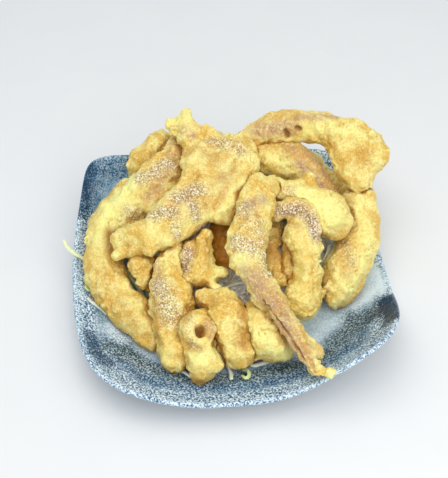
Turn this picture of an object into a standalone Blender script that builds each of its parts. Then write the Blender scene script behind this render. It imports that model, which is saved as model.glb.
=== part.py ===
"""Fried calamari: battered squid tentacles and strips, heaped on shredded cabbage
in a square glazed dish with lifted corners.

Metres, +Z up. The origin is the middle of the dish's foot, on the table.
The front of the dish faces -Y. Lengths below are in millimetres.
"""
import math
import random

import bmesh
import bpy
from mathutils import Vector, noise
from mathutils.bvhtree import BVHTree

MM = 0.001

# The dish: a soft square seen from above, whose four corners differ
DISH_HALF_WIDTH = 105.0
DISH_HALF_DEPTH = 107.0
SIDE_POWER = 3.65
# Each corner as (sharpness of the outline, pull of its corner, lift of the rim, power of the lift)
FAR_LEFT_CORNER = (10.0, -0.10, 23.5, 1.85)
NEAR_LEFT_CORNER = (4.2, -0.04, 10.5, 4.8)
NEAR_RIGHT_CORNER = (4.7, -0.05, 33.0, 2.9)
FAR_RIGHT_CORNER = (5.0, -0.02, 12.0, 2.5)
PULL_POWER = 2.4
LEFT_RIM_Z = 24.0
RIGHT_RIM_Z = 13.0
FRONT_RIM_Z = 22.0
BACK_RIM_Z = 18.0
DISH_SEGMENTS = 48
SEGMENT_CROWDING = 0.45
WELL_Z = 7.5
WALL_START = 0.52
WALL_POWER = 2.3
DISH_THICKNESS = 5.0
INNER_SHARES = (0.3, 0.56, 0.68, 0.78, 0.86, 0.93, 0.985)
UNDER_SHARES = (0.9, 0.76)
# The rounded rim, as (reach past the outline, depth below the top of the rim)
RIM_PROFILE = ((0.4, -0.2), (1.6, 1.2), (0.8, 4.0))
UNDER_REACH = 0.8
UNDER_LOWEST_Z = 2.6
FOOT_SHARE = 0.60
FOOT_FLARE = 0.02
FOOT_TOP_Z = 2.4
# The search for the outline through a place: how far out it starts, and its halvings
SEARCH_SHARE = 1.3
SEARCH_STEPS = 24

# The batter. Each piece starts as oval tubes, is joined on a voxel grid and roughened
STRAND_SIDES = 14
STRAND_SPACING = 2.5
SPINE_STEPS = 200
FEWEST_RINGS = 6
SMALLEST_CAP = 0.05
VOXEL = 1.5
COARSE_CRAG = 1.3
COARSE_CRAG_SIZE = 7.0
FINE_CRAG = 0.5
FINE_CRAG_SIZE = 3.2
CRAG_SHIFT = (3.7, 1.9, 5.3)
DISH_GAP = 0.8
# The way the flat side of a strip faces, up and towards the front
HEAP_FACE = Vector((0.06, -0.65, 0.75))
# The gap left where a piece lies on another, and the share of faces kept after that
CONTACT_GAP = 0.6
MOUND_GAP = 1.2
THIN_OUT = 0.8
MOUND_THIN_OUT = 0.55
# Corners closer than this many metres are one corner
SAME_PLACE = 1e-6

# The cabbage
MOUND_CENTRE = (4.0, 16.0)
MOUND_RADIUS = 72.0
MOUND_HEIGHT = 44.0
MOUND_FULLNESS = 0.65
# The mound is hollowed where a gap goes deep: (x, y, radius, depth)
MOUND_HOLLOW = (-2.0, -6.0, 24.0, 18.0)
MOUND_RINGS = 5
MOUND_SIDES = 20
MOUND_EDGE_SHARE = 0.985
MOUND_BUMP = 2.2
MOUND_BUMP_SIZE = 9.0
MOUND_BUMP_LEVEL = 5.0
MOUND_SETTLE = 2.0
MOUND_EDGE_THICKNESS = 2.4
MOUND_BASE_SHARE = 0.72
SHRED_WIDTH = 2.4
SHRED_THICKNESS = 1.3
SHRED_LIFT = 1.1
SHRED_STEPS = 3
SHRED_TANGENT_STEP = 0.02
SHRED_ROLL_STEP = 0.3
SHRED_LEAN = 0.2
SHORT_SHREDS = 7
SHORT_SHRED_POINTS = 3
SHORT_SHRED_SINK = 1.2
SHORT_SHRED_SEED = 7
# Each as (least, how much more at most): share of the mound's radius, turn per point
SHORT_SHRED_REACH = (0.55, 0.35)
SHORT_SHRED_BEND = (0.30, 0.25)

GLAZE_COLOUR = (0.42, 0.50, 0.58)
GLAZE_ROUGHNESS = 0.15
GLAZE_COAT = 0.6
BATTER_COLOUR = (0.82, 0.58, 0.22)
BATTER_ROUGHNESS = 0.45
CABBAGE_COLOUR = (0.70, 0.81, 0.52)
CABBAGE_ROUGHNESS = 0.35

# Each strand is a spine of (x, y, z, width), chosen by eye along the piece.
# A piece is one or more strands and round nubs (x, y, z, radius) under one crust.
# The last number is the piece's share of faces. Pieces are listed from the top
# of the heap downwards, and each one is dented by those listed before it.
PIECES = [
    ("calamari_arch", 0.8, [
        [(14, 78, 61, 15), (28, 78, 64, 20), (42, 81, 68, 24), (53, 81, 70, 24), (67, 77, 71, 22),
         (82, 69, 71, 25), (96, 59, 69, 27), (103, 48, 66, 25), (100, 38, 60, 18)],
        [(80, 64, 69, 15), (88, 51, 65, 24), (92, 41, 60, 27), (92, 32, 56, 22), (91, 27, 52, 15)],
    ], [(49, 91, 73, 4), (66, 86, 75, 4), (51, 72, 66, 3.5)], 640),
    ("calamari_long", 0.78, [
        [(26, 36, 67, 19), (20, 15, 68, 24), (14, -3, 67, 24), (9, -18, 64, 24), (9, -30, 59, 20),
         (14, -41, 54, 17), (20, -53, 50, 15), (26, -66, 46, 14), (32, -77, 42, 12),
         (36, -87, 39, 10), (39, -96, 37, 8), (43, -105, 38, 7)],
        [(8, -39, 52, 8), (12, -49, 47, 8), (17, -58, 43, 6)],
        [(38, -75, 40, 6), (43, -84, 37, 8), (43, -92, 34, 5)],
        [(23, 24, 67, 20), (31, 28, 65, 17), (38, 30, 62, 12)],
    ], [(-1, -20, 64, 4), (47, -104, 38, 3.5)], 720),
    ("calamari_broad", 0.6, [
        [(-12, 70, 73, 26), (-12, 51, 71, 29), (-15, 33, 69, 28), (-28, 15, 64, 31),
         (-46, 5, 58, 25), (-60, 5, 52, 23), (-71, 6, 48, 21), (-77, 6, 46, 14)],
        [(11, 76, 70, 26), (10, 54, 70, 31), (5, 32, 68, 31), (-2, 17, 65, 26), (-13, 7, 62, 20)],
        [(0, 75, 70, 24), (-1, 55, 70, 29)],
        [(-16, 62, 73, 19), (-18, 71, 76, 20), (-20, 80, 79, 14), (-21, 86, 82, 10),
         (-18, 93, 85, 6)],
        [(-21, 75, 76, 11), (-28, 82, 78, 12), (-35, 88, 79, 8)],
        [(-13, 70, 74, 19), (-7, 74, 75, 13), (-1, 70, 75, 8)],
        [(-23, 74, 76, 10), (-22, 61, 75, 6)],
    ], [(-74, -3, 46, 4), (-53, -5, 51, 4), (-32, 31, 68, 3.5)], 920),
    ("calamari_bright", 0.82, [
        [(27, 30, 61, 17), (41, 27, 60, 18), (52, 22, 59, 21), (61, 14, 57, 25), (68, 5, 53, 30),
         (66, -7, 47, 20)],
    ], [(53, 30, 62, 5.5), (58, 35, 64, 4), (62, 29, 60, 3.5)], 400),
    ("calamari_inner_band", 0.62, [
        [(20, 66, 55, 20), (33, 65, 57, 25), (45, 62, 56, 28), (56, 56, 53, 25), (64, 46, 49, 21),
         (71, 35, 45, 17), (78, 26, 41, 11)],
    ], [], 300),
    ("calamari_left_arc", 0.72, [
        [(-27, 85, 68, 8), (-29, 72, 65, 15), (-38, 56, 62, 25), (-49, 45, 56, 31),
         (-61, 37, 48, 31), (-75, 29, 40, 30), (-83, 17, 32, 28), (-84, 0, 27, 27),
         (-78, -17, 22, 24), (-68, -32, 19, 24), (-59, -46, 18, 19), (-51, -59, 16, 10)],
        [(-57, 57, 50, 17), (-71, 49, 42, 21), (-85, 36, 34, 19), (-89, 16, 27, 16)],
        [(-29, 73, 64, 14), (-33, 54, 62, 19), (-39, 37, 57, 20), (-52, 26, 52, 17)],
        [(-65, -23, 22, 12), (-59, -32, 21, 16), (-56, -43, 19, 13)],
    ], [(-67, 62, 46, 4), (-68, -18, 27, 2.5)], 720),
    ("calamari_back_curl", 0.8, [
        [(-33, 95, 61, 11), (-42, 86, 57, 20), (-54, 78, 49, 19), (-63, 71, 41, 9)],
    ], [(-45, 85, 58, 4)], 210),
    ("calamari_right_fall", 0.8, [
        [(92, 38, 50, 23), (93, 23, 45, 24), (90, 8, 38, 25), (84, -5, 31, 29), (76, -16, 25, 29),
         (69, -28, 21, 27), (63, -40, 18, 18)],
        [(99, 20, 40, 10), (97, 4, 36, 12), (91, -7, 31, 13), (83, -19, 25, 12)],
    ], [(100, 11, 41, 3.5)], 450),
    ("calamari_hook", 0.85, [
        [(46, 8, 55, 17), (46, -7, 52, 23), (48, -17, 47, 19), (48, -25, 41, 18),
         (46, -32, 34, 21), (43, -41, 28, 25), (41, -52, 23, 18)],
        [(31, 6, 57, 9), (36, 12, 60, 12), (46, 13, 61, 13), (53, 7, 60, 13), (55, -1, 57, 12),
         (56, -10, 53, 8)],
    ], [(56, -35, 28, 4), (37, -38, 31, 4)], 490),
    ("calamari_neck", 0.8, [
        [(-14, 6, 55, 9), (-17, -4, 52, 10), (-18, -12, 48, 13), (-20, -18, 44, 19),
         (-20, -23, 39, 22), (-20, -28, 35, 15)],
        [(-21, 6, 48, 9), (-25, -1, 46, 12), (-29, -9, 42, 14), (-32, -18, 37, 12)],
    ], [(-8, -24, 44, 4), (-14, -32, 38, 4.5), (-30, -24, 43, 3)], 330),
    ("calamari_left_stem", 0.9, [
        [(-35, 12, 48, 13), (-38, 0, 45, 14), (-41, -12, 42, 18), (-42, -24, 36, 27),
         (-41, -36, 31, 29), (-44, -46, 25, 23), (-44, -58, 21, 20), (-42, -69, 19, 18),
         (-40, -77, 17, 13)],
    ], [(-56, -36, 28, 3), (-32, -34, 35, 4.5)], 400),
    ("calamari_lobe", 0.8, [
        [(-56, 4, 41, 19), (-58, -3, 37, 19), (-57, -10, 32, 13), (-56, -16, 26, 7)],
    ], [], 160),
    ("calamari_front_knot", 1.0, [
        [(-19, -46, 35, 12), (-26, -53, 32, 21), (-29, -60, 28, 21), (-27, -69, 25, 19),
         (-26, -76, 23, 24), (-27, -82, 19, 21), (-27, -87, 17, 14)],
        [(-25, -55, 37, 7), (-20, -60, 37, 7), (-21, -67, 35, 7), (-27, -69, 34, 7),
         (-32, -64, 36, 7), (-30, -58, 37, 7), (-25, -55, 37, 7)],
    ], [(-34, -50, 34, 3), (-17, -56, 36, 3), (-37, -59, 30, 3), (-17, -65, 27, 2.5)], 470),
    ("calamari_front_centre", 1.0, [
        [(-15, -39, 37, 18), (-10, -47, 34, 27), (-6, -58, 28, 28), (-3, -70, 23, 22),
         (-3, -81, 18, 15)],
        [(-27, -36, 35, 9), (-19, -38, 37, 14), (-9, -41, 37, 17), (1, -45, 33, 12)],
    ], [(-13, -43, 38, 4)], 280),
    ("calamari_front_right", 1.0, [
        [(12, -40, 35, 15), (11, -50, 32, 22), (15, -61, 27, 29), (22, -70, 23, 27),
         (30, -76, 20, 18)],
    ], [(5, -47, 34, 3), (9, -73, 20, 5)], 320),
    ("calamari_inner_stem", 0.8, [
        [(32, 19, 47, 10), (31, 7, 45, 10), (28, -3, 43, 10), (27, -19, 39, 12), (28, -32, 34, 10)],
    ], [], 140),
    ("calamari_inner_loop", 0.8, [
        [(38, 5, 45, 9), (39, -6, 41, 10), (38, -19, 37, 11), (34, -28, 33, 9)],
    ], [], 120),
    ("calamari_under_fold", 0.75, [
        [(12, 35, 50, 19), (1, 21, 43, 20), (-5, 5, 37, 19), (-4, -10, 30, 15)],
    ], [], 190),
    ("calamari_under_broad", 0.8, [
        [(-54, 26, 38, 16), (-34, 33, 45, 22), (-12, 38, 50, 24), (10, 50, 51, 22), (26, 56, 46, 16)],
    ], [], 260),
    ("calamari_back_drop", 0.75, [
        [(-12, 83, 60, 20), (-7, 91, 48, 26), (3, 92, 35, 26), (16, 87, 26, 22), (30, 82, 21, 15)],
    ], [(-1, 101, 42, 4)], 230),
    ("calamari_back_hook", 0.78, [
        [(22, 85, 50, 18), (41, 86, 44, 24), (59, 80, 35, 25), (74, 67, 28, 23), (86, 48, 25, 17)],
    ], [(50, 96, 38, 4)], 240),
    ("calamari_back_stem", 0.78, [
        [(-77, 37, 28, 15), (-64, 53, 27, 20), (-48, 67, 27, 22), (-29, 76, 28, 22), (-13, 78, 30, 16)],
    ], [(-62, 75, 32, 4)], 220),
    ("calamari_back_slope", 0.78, [
        [(-62, 54, 42, 17), (-47, 64, 44, 23), (-30, 70, 48, 25), (-12, 70, 53, 20)],
    ], [], 180),
    ("calamari_back_ridge", 0.78, [
        [(6, 74, 48, 22), (28, 70, 43, 25), (49, 60, 40, 23), (68, 44, 34, 17)],
    ], [], 180),
    ("calamari_right_rise", 0.78, [
        [(80, 54, 24, 16), (91, 42, 30, 22), (93, 28, 35, 22), (84, 13, 32, 18)],
    ], [], 180),
]

# Cabbage shreds that show round the calamari: (x, y, z) along each strip
LOOSE_SHREDS = [
    ("shred_left_rim", [(-96, 13, 25), (-99, 15, 26), (-103, 17, 28), (-107, 20, 29),
        (-109, 23, 30), (-111, 27, 33)]),
    ("shred_left_green", [(-92, -9, 19), (-97, -8, 21), (-97, -4, 22), (-95, 3, 22)]),
    ("shred_left_thin", [(-97, -15, 20), (-93, -19, 19), (-89, -22, 17), (-84, -27, 15),
        (-80, -32, 14)]),
    ("shred_front_white", [(-54, -50, 12), (-52, -59, 11), (-49, -69, 13), (-44, -74, 13),
        (-39, -75, 13), (-34, -81, 14)]),
    ("shred_front_curl", [(-12, -70, 24), (-12, -67, 27), (-15, -65, 28), (-18, -68, 26),
        (-15, -70, 20), (-11, -73, 14), (-9, -78, 12), (-9, -85, 13)]),
    ("shred_front_ring", [(-1, -78, 12), (2, -80, 14), (2, -85, 16), (0, -87, 16), (-2, -83, 13)]),
    ("shred_front_flat", [(5, -68, 11), (5, -75, 11), (12, -74, 11), (18, -73, 11)]),
    ("shred_left_gap", [(-72, 7, 24), (-68, 0, 20), (-63, -8, 17), (-59, -17, 15)]),
    ("shred_right_gap", [(69, 3, 30), (66, -3, 28), (62, -8, 24), (59, -13, 19)]),
]


def corner_at(angle):
    """The corner that lies in the quarter round an angle."""
    if math.cos(angle) < 0:
        return FAR_LEFT_CORNER if math.sin(angle) > 0 else NEAR_LEFT_CORNER
    return FAR_RIGHT_CORNER if math.sin(angle) > 0 else NEAR_RIGHT_CORNER


def rim_lift(angle):
    """Height of the rim: each side has its own height and each corner its own lift."""
    lift, lift_power = corner_at(angle)[2:]
    across = math.cos(angle)
    along = math.sin(angle)
    height = (RIGHT_RIM_Z if across > 0 else LEFT_RIM_Z) * across * across
    height += (BACK_RIM_Z if along > 0 else FRONT_RIM_Z) * along * along
    return height + lift * abs(math.sin(2.0 * angle)) ** lift_power


def outline_reach(angle, share):
    """Distance from the middle to the soft square outline at a share of full size."""
    sharpness, pull = corner_at(angle)[:2]
    diagonal = abs(math.sin(2.0 * angle))
    rim_power = SIDE_POWER + (sharpness - SIDE_POWER) * diagonal ** 2
    power = 2.0 + (rim_power - 2.0) * share * share
    total = abs(math.cos(angle) / DISH_HALF_WIDTH) ** power
    total += abs(math.sin(angle) / DISH_HALF_DEPTH) ** power
    pulled = 1.0 + pull * share * share * diagonal ** PULL_POWER
    return share * pulled / total ** (1.0 / power)


def wall_rise(share):
    """0 on the flat well, 1 at the rim."""
    return max(0.0, (share - WALL_START) / (1.0 - WALL_START)) ** WALL_POWER


def dish_top(x, y):
    """Height of the dish's upper surface at a place in plan."""
    angle = math.atan2(y, x)
    distance = math.hypot(x, y)
    low, high = 0.0, SEARCH_SHARE
    for _ in range(SEARCH_STEPS):
        middle = 0.5 * (low + high)
        if outline_reach(angle, middle) < distance:
            low = middle
        else:
            high = middle
    return WELL_Z + (rim_lift(angle) - WELL_Z) * min(wall_rise(low), 1.0)


def surface_at(angle, share):
    """Height of the upper surface on the outline drawn at a share of full size."""
    return WELL_Z + (rim_lift(angle) - WELL_Z) * wall_rise(share)


def underside_at(angle, share):
    """Height of the lower surface there, no lower than the top of the foot."""
    return max(surface_at(angle, share) - DISH_THICKNESS, UNDER_LOWEST_Z)


def dish_rings():
    """Rings from the middle of the well, over the rim and under to the flat foot.

    Each is (share of the outline, reach past it, height as a function of angle).
    """
    rings = []
    for share in INNER_SHARES:
        rings.append((share, 0.0, lambda a, s=share: surface_at(a, s)))
    for reach, depth in RIM_PROFILE:
        rings.append((1.0, reach, lambda a, d=depth: rim_lift(a) - d))
    for share in UNDER_SHARES:
        rings.append((share, UNDER_REACH, lambda a, s=share: underside_at(a, s)))
    rings.append((FOOT_SHARE + FOOT_FLARE, 0.0, lambda a: FOOT_TOP_Z))
    rings.append((FOOT_SHARE, 0.0, lambda a: 0.0))
    return rings


def build_dish():
    """The dish: rings of the soft square, closed over the well and under the foot."""
    mesh_data = bmesh.new()
    loops = []
    for share, extra, height in dish_rings():
        loop = []
        for step in range(DISH_SEGMENTS):
            turn = 2.0 * math.pi * step / DISH_SEGMENTS
            angle = turn + SEGMENT_CROWDING / 4.0 * math.sin(4.0 * turn)
            reach = outline_reach(angle, share) + extra
            spot = (reach * math.cos(angle) * MM, reach * math.sin(angle) * MM, height(angle) * MM)
            loop.append(mesh_data.verts.new(spot))
        loops.append(loop)
    for inner, outer in zip(loops, loops[1:]):
        for step in range(DISH_SEGMENTS):
            after = (step + 1) % DISH_SEGMENTS
            mesh_data.faces.new((inner[step], outer[step], outer[after], inner[after]))
    middle_top = mesh_data.verts.new((0.0, 0.0, WELL_Z * MM))
    middle_under = mesh_data.verts.new((0.0, 0.0, 0.0))
    for step in range(DISH_SEGMENTS):
        after = (step + 1) % DISH_SEGMENTS
        mesh_data.faces.new((middle_top, loops[0][step], loops[0][after]))
        mesh_data.faces.new((middle_under, loops[-1][after], loops[-1][step]))
    return finish_object("dish", mesh_data)


def finish_object(name, mesh_data, smooth=True):
    """Turn a bmesh into a named object with all faces pointing out."""
    bmesh.ops.triangulate(mesh_data, faces=mesh_data.faces[:])
    bmesh.ops.recalc_face_normals(mesh_data, faces=mesh_data.faces[:])
    if mesh_data.calc_volume(signed=True) < 0:
        bmesh.ops.reverse_faces(mesh_data, faces=mesh_data.faces[:])
    mesh = bpy.data.meshes.new(name)
    mesh_data.to_mesh(mesh)
    mesh_data.free()
    if smooth:
        mesh.shade_smooth()
    body = bpy.data.objects.new(name, mesh)
    bpy.context.scene.collection.objects.link(body)
    return body


def curve_point(points, place):
    """A point on the smooth curve through the given points, place from 0 to 1."""
    spans = len(points) - 1
    at = min(place * spans, spans - 1e-6)
    index = int(at)
    t = at - index
    p0 = points[max(index - 1, 0)]
    p1 = points[index]
    p2 = points[index + 1]
    p3 = points[min(index + 2, spans)]
    out = []
    for a, b, c, d in zip(p0, p1, p2, p3):
        out.append(0.5 * (2 * b + (c - a) * t + (2 * a - 5 * b + 4 * c - d) * t * t
                          + (3 * b - a - 3 * c + d) * t * t * t))
    return out


def spine_samples(points):
    """Places along a spine, closer at its ends: (position, width, distance from the nearer end)."""
    dense = [curve_point(points, i / SPINE_STEPS) for i in range(SPINE_STEPS + 1)]
    travelled = [0.0]
    for a, b in zip(dense, dense[1:]):
        travelled.append(travelled[-1] + math.dist(a[:3], b[:3]))
    length = travelled[-1]
    count = max(FEWEST_RINGS, int(length / STRAND_SPACING))
    samples = []
    index = 0
    for step in range(count + 1):
        ease = 0.5 - 0.5 * math.cos(math.pi * step / count)
        target = length * (0.5 * step / count + 0.5 * ease)
        while index < SPINE_STEPS - 1 and travelled[index + 1] < target:
            index += 1
        part = (target - travelled[index]) / max(travelled[index + 1] - travelled[index], 1e-9)
        mixed = [a + (b - a) * part for a, b in zip(dense[index], dense[index + 1])]
        samples.append((Vector(mixed[:3]), mixed[3], min(target, length - target)))
    return samples


def add_strand(mesh_data, points, flatness):
    """A closed tube of oval section round a spine, with rounded ends."""
    samples = spine_samples(points)
    rings = []
    for i, (centre, width, from_end) in enumerate(samples):
        before = samples[max(i - 1, 0)][0]
        after = samples[min(i + 1, len(samples) - 1)][0]
        along = (after - before).normalized()
        side = along.cross(HEAP_FACE).normalized()
        lift = side.cross(along)
        cap = 0.5 * width
        short = max(1.0 - from_end / cap, 0.0)
        half = cap * max(math.sqrt(1.0 - short * short), SMALLEST_CAP)
        ring = []
        for k in range(STRAND_SIDES):
            turn = 2.0 * math.pi * k / STRAND_SIDES
            offset = side * (half * math.cos(turn)) + lift * (half * flatness * math.sin(turn))
            ring.append(mesh_data.verts.new((centre + offset) * MM))
        rings.append(ring)
    for a, b in zip(rings, rings[1:]):
        for k in range(STRAND_SIDES):
            beside = (k + 1) % STRAND_SIDES
            mesh_data.faces.new((a[k], a[beside], b[beside], b[k]))
    mesh_data.faces.new(list(reversed(rings[0])))
    mesh_data.faces.new(rings[-1])


def add_nub(mesh_data, place):
    """A round bit of batter."""
    made = bmesh.ops.create_icosphere(mesh_data, subdivisions=2, radius=place[3] * MM)
    bmesh.ops.translate(mesh_data, verts=made["verts"], vec=Vector(place[:3]) * MM)


def evaluated_mesh(body):
    """The mesh of an object with its modifiers worked in."""
    depsgraph = bpy.context.evaluated_depsgraph_get()
    return bpy.data.meshes.new_from_object(body.evaluated_get(depsgraph))


def work_in(body, kind, **settings):
    """Add one modifier, set it and apply it."""
    modifier = body.modifiers.new(kind.title(), kind)
    for key, value in settings.items():
        setattr(modifier, key, value)
    mesh = evaluated_mesh(body)
    body.modifiers.remove(modifier)
    old = body.data
    body.data = mesh
    bpy.data.meshes.remove(old)


def roughen(body, seed):
    """Lumps and crags of the fried crust, then a flat seat where it lies in the dish."""
    shift = Vector([seed * part for part in CRAG_SHIFT])
    mesh = body.data
    moves = []
    for vertex in mesh.vertices:
        spot = vertex.co / MM
        coarse = noise.noise(spot / COARSE_CRAG_SIZE + shift)
        fine = noise.noise(spot / FINE_CRAG_SIZE - shift)
        moves.append(vertex.normal * ((COARSE_CRAG * coarse + FINE_CRAG * fine) * MM))
    for vertex, move in zip(mesh.vertices, moves):
        vertex.co += move
        floor = dish_top(vertex.co.x / MM, vertex.co.y / MM) + DISH_GAP
        vertex.co.z = max(vertex.co.z, floor * MM)


def build_piece(name, flatness, strands, nubs, faces, seed):
    """One battered piece: its strands and nubs joined under one rough crust."""
    mesh_data = bmesh.new()
    for spine in strands:
        add_strand(mesh_data, spine, flatness)
    for place in nubs:
        add_nub(mesh_data, place)
    body = finish_object(name, mesh_data)
    work_in(body, "REMESH", mode="VOXEL", voxel_size=VOXEL * MM)
    roughen(body, seed)
    share = faces / (2.0 * len(body.data.polygons))
    work_in(body, "DECIMATE", ratio=share, use_collapse_triangulate=True)
    keep_largest(body)
    return body


def keep_largest(body):
    """Drop loose scraps and leave one closed body of triangles."""
    mesh_data = bmesh.new()
    mesh_data.from_mesh(body.data)
    bmesh.ops.remove_doubles(mesh_data, verts=mesh_data.verts[:], dist=SAME_PLACE)
    bmesh.ops.dissolve_degenerate(mesh_data, edges=mesh_data.edges[:], dist=SAME_PLACE)
    bmesh.ops.triangulate(mesh_data, faces=mesh_data.faces[:])
    islands = []
    unseen = set(mesh_data.verts)
    while unseen:
        stack = [unseen.pop()]
        island = set(stack)
        while stack:
            for edge in stack.pop().link_edges:
                for vertex in edge.verts:
                    if vertex in unseen:
                        unseen.discard(vertex)
                        island.add(vertex)
                        stack.append(vertex)
        islands.append(island)
    islands.sort(key=len, reverse=True)
    scraps = [v for island in islands[1:] for v in island]
    bmesh.ops.delete(mesh_data, geom=scraps, context="VERTS")
    bmesh.ops.recalc_face_normals(mesh_data, faces=mesh_data.faces[:])
    if mesh_data.calc_volume(signed=True) < 0:
        bmesh.ops.reverse_faces(mesh_data, faces=mesh_data.faces[:])
    mesh_data.to_mesh(body.data)
    mesh_data.free()
    body.data.shade_smooth()


def swollen_copy(body, gap):
    """A copy of a body with its skin moved out by the gap, used as a cutter."""
    mesh = body.data.copy()
    normals = [vertex.normal.copy() for vertex in mesh.vertices]
    for vertex, normal in zip(mesh.vertices, normals):
        vertex.co += normal * (gap * MM)
    cutter = bpy.data.objects.new("cutter", mesh)
    cutter.hide_render = True
    cutter.display_type = "WIRE"
    bpy.context.scene.collection.objects.link(cutter)
    return cutter


def tree_of(body):
    """The faces of a body, in the form that tells whether two bodies meet."""
    mesh_data = bmesh.new()
    mesh_data.from_mesh(body.data)
    tree = BVHTree.FromBMesh(mesh_data)
    mesh_data.free()
    return tree


def dent(body, above, gap=CONTACT_GAP):
    """Cut a body where a piece above it lies on it, leaving a thin gap, and tell if it was cut.

    The exact solver left edges shared by three faces here, so the cut uses the manifold one.
    """
    cutter = swollen_copy(above, gap)
    touches = bool(tree_of(body).overlap(tree_of(cutter)))
    if touches:
        work_in(body, "BOOLEAN", operation="DIFFERENCE", object=cutter, solver="MANIFOLD")
        keep_largest(body)
    mesh = cutter.data
    bpy.data.objects.remove(cutter)
    bpy.data.meshes.remove(mesh)
    return touches


def thin_out(body, share):
    """Join the small faces that the dents leave."""
    work_in(body, "DECIMATE", ratio=share, use_collapse_triangulate=True)
    keep_largest(body)


def mound_height(x, y):
    """Height of the cabbage mound under the calamari."""
    across = math.hypot(x - MOUND_CENTRE[0], y - MOUND_CENTRE[1]) / MOUND_RADIUS
    hollow_x, hollow_y, radius, depth = MOUND_HOLLOW
    nearness = math.exp(-((x - hollow_x) ** 2 + (y - hollow_y) ** 2) / radius ** 2)
    full = MOUND_HEIGHT * max(0.0, 1.0 - across * across) ** MOUND_FULLNESS
    return WELL_Z + max(full - depth * nearness, 0.0)


def mound_spot(turn, reach):
    """A place in plan, from the middle of the mound."""
    return MOUND_CENTRE[0] + reach * math.cos(turn), MOUND_CENTRE[1] + reach * math.sin(turn)


def build_mound():
    """The core of the cabbage heap: a low dome with the unevenness of tangled shreds."""
    mesh_data = bmesh.new()
    outermost = MOUND_RADIUS * MOUND_EDGE_SHARE

    def add_corner(x, y, z):
        return mesh_data.verts.new((x * MM, y * MM, z * MM))

    turns = [2.0 * math.pi * step / MOUND_SIDES for step in range(MOUND_SIDES)]
    loops = []
    for ring in range(1, MOUND_RINGS + 1):
        reach = outermost * math.sin(0.5 * math.pi * ring / MOUND_RINGS)
        loop = []
        for turn in turns:
            x, y = mound_spot(turn, reach)
            bump = MOUND_BUMP * noise.noise(Vector((x, y, MOUND_BUMP_LEVEL)) / MOUND_BUMP_SIZE)
            lowest = dish_top(x, y) + MOUND_EDGE_THICKNESS
            loop.append(add_corner(x, y, max(mound_height(x, y) - MOUND_SETTLE + bump, lowest)))
        loops.append(loop)
    for reach in (outermost, outermost * MOUND_BASE_SHARE):
        loop = []
        for turn in turns:
            x, y = mound_spot(turn, reach)
            loop.append(add_corner(x, y, dish_top(x, y) + DISH_GAP))
        loops.append(loop)
    top = add_corner(*MOUND_CENTRE, WELL_Z + MOUND_HEIGHT - MOUND_SETTLE)
    under = add_corner(*MOUND_CENTRE, WELL_Z + DISH_GAP)
    for step in range(MOUND_SIDES):
        beside = (step + 1) % MOUND_SIDES
        mesh_data.faces.new((top, loops[0][step], loops[0][beside]))
        mesh_data.faces.new((loops[-1][step], under, loops[-1][beside]))
        for a, b in zip(loops, loops[1:]):
            mesh_data.faces.new((a[step], b[step], b[beside], a[beside]))
    return finish_object("cabbage", mesh_data)


def build_shred(name, points, roll):
    """One cabbage strip as a four-sided ribbon along a smooth path."""
    mesh_data = bmesh.new()
    steps = SHRED_STEPS * (len(points) - 1)
    rings = []
    for step in range(steps + 1):
        here = Vector(curve_point(points, step / steps))
        ahead = Vector(curve_point(points, min(step / steps + SHRED_TANGENT_STEP, 1.0)))
        back = Vector(curve_point(points, max(step / steps - SHRED_TANGENT_STEP, 0.0)))
        along = (ahead - back).normalized()
        side = along.cross(Vector((math.sin(roll), math.cos(roll) * SHRED_LEAN, 1.0))).normalized()
        lift = side.cross(along)
        ring = []
        for across, up in ((-1, -1), (1, -1), (1, 1), (-1, 1)):
            corner = here + side * (across * SHRED_WIDTH / 2)
            floor = dish_top(corner.x, corner.y) + SHRED_LIFT + 0.5 * SHRED_THICKNESS
            corner.z = max(corner.z, floor)
            ring.append(mesh_data.verts.new((corner + lift * (up * SHRED_THICKNESS / 2)) * MM))
        rings.append(ring)
    for a, b in zip(rings, rings[1:]):
        for k in range(4):
            mesh_data.faces.new((a[k], a[(k + 1) % 4], b[(k + 1) % 4], b[k]))
    mesh_data.faces.new(list(reversed(rings[0])))
    mesh_data.faces.new(rings[-1])
    return finish_object(name, mesh_data, smooth=False)


def build_cabbage():
    """The mound with short shreds fused on over the dome."""
    mound = build_mound()
    shreds = bpy.data.collections.new("shreds")
    bpy.context.scene.collection.children.link(shreds)
    draw = random.Random(SHORT_SHRED_SEED)
    for index in range(SHORT_SHREDS):
        turn = 2.0 * math.pi * (index + draw.random()) / SHORT_SHREDS
        reach = MOUND_RADIUS * (SHORT_SHRED_REACH[0] + SHORT_SHRED_REACH[1] * draw.random())
        bend = SHORT_SHRED_BEND[0] + SHORT_SHRED_BEND[1] * draw.random()
        points = []
        for k in range(SHORT_SHRED_POINTS):
            x, y = mound_spot(turn + bend * (k - 1), reach)
            points.append((x, y, mound_height(x, y) - SHORT_SHRED_SINK))
        strip = build_shred("short_shred", points, draw.random())
        bpy.context.scene.collection.objects.unlink(strip)
        shreds.objects.link(strip)
    work_in(mound, "BOOLEAN", operation="UNION", operand_type="COLLECTION", collection=shreds,
            solver="MANIFOLD")
    for strip in list(shreds.objects):
        bpy.data.objects.remove(strip)
    bpy.data.collections.remove(shreds)
    keep_largest(mound)
    return mound


def give_material(body, colour, roughness, coat=0.0):
    """A Principled material of the body's own."""
    material = bpy.data.materials.new(body.name)
    material.use_nodes = True
    shader = material.node_tree.nodes["Principled BSDF"]
    shader.inputs["Base Color"].default_value = (*colour, 1.0)
    shader.inputs["Roughness"].default_value = roughness
    shader.inputs["Metallic"].default_value = 0.0
    shader.inputs["Coat Weight"].default_value = coat
    body.data.materials.clear()
    body.data.materials.append(material)


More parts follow.
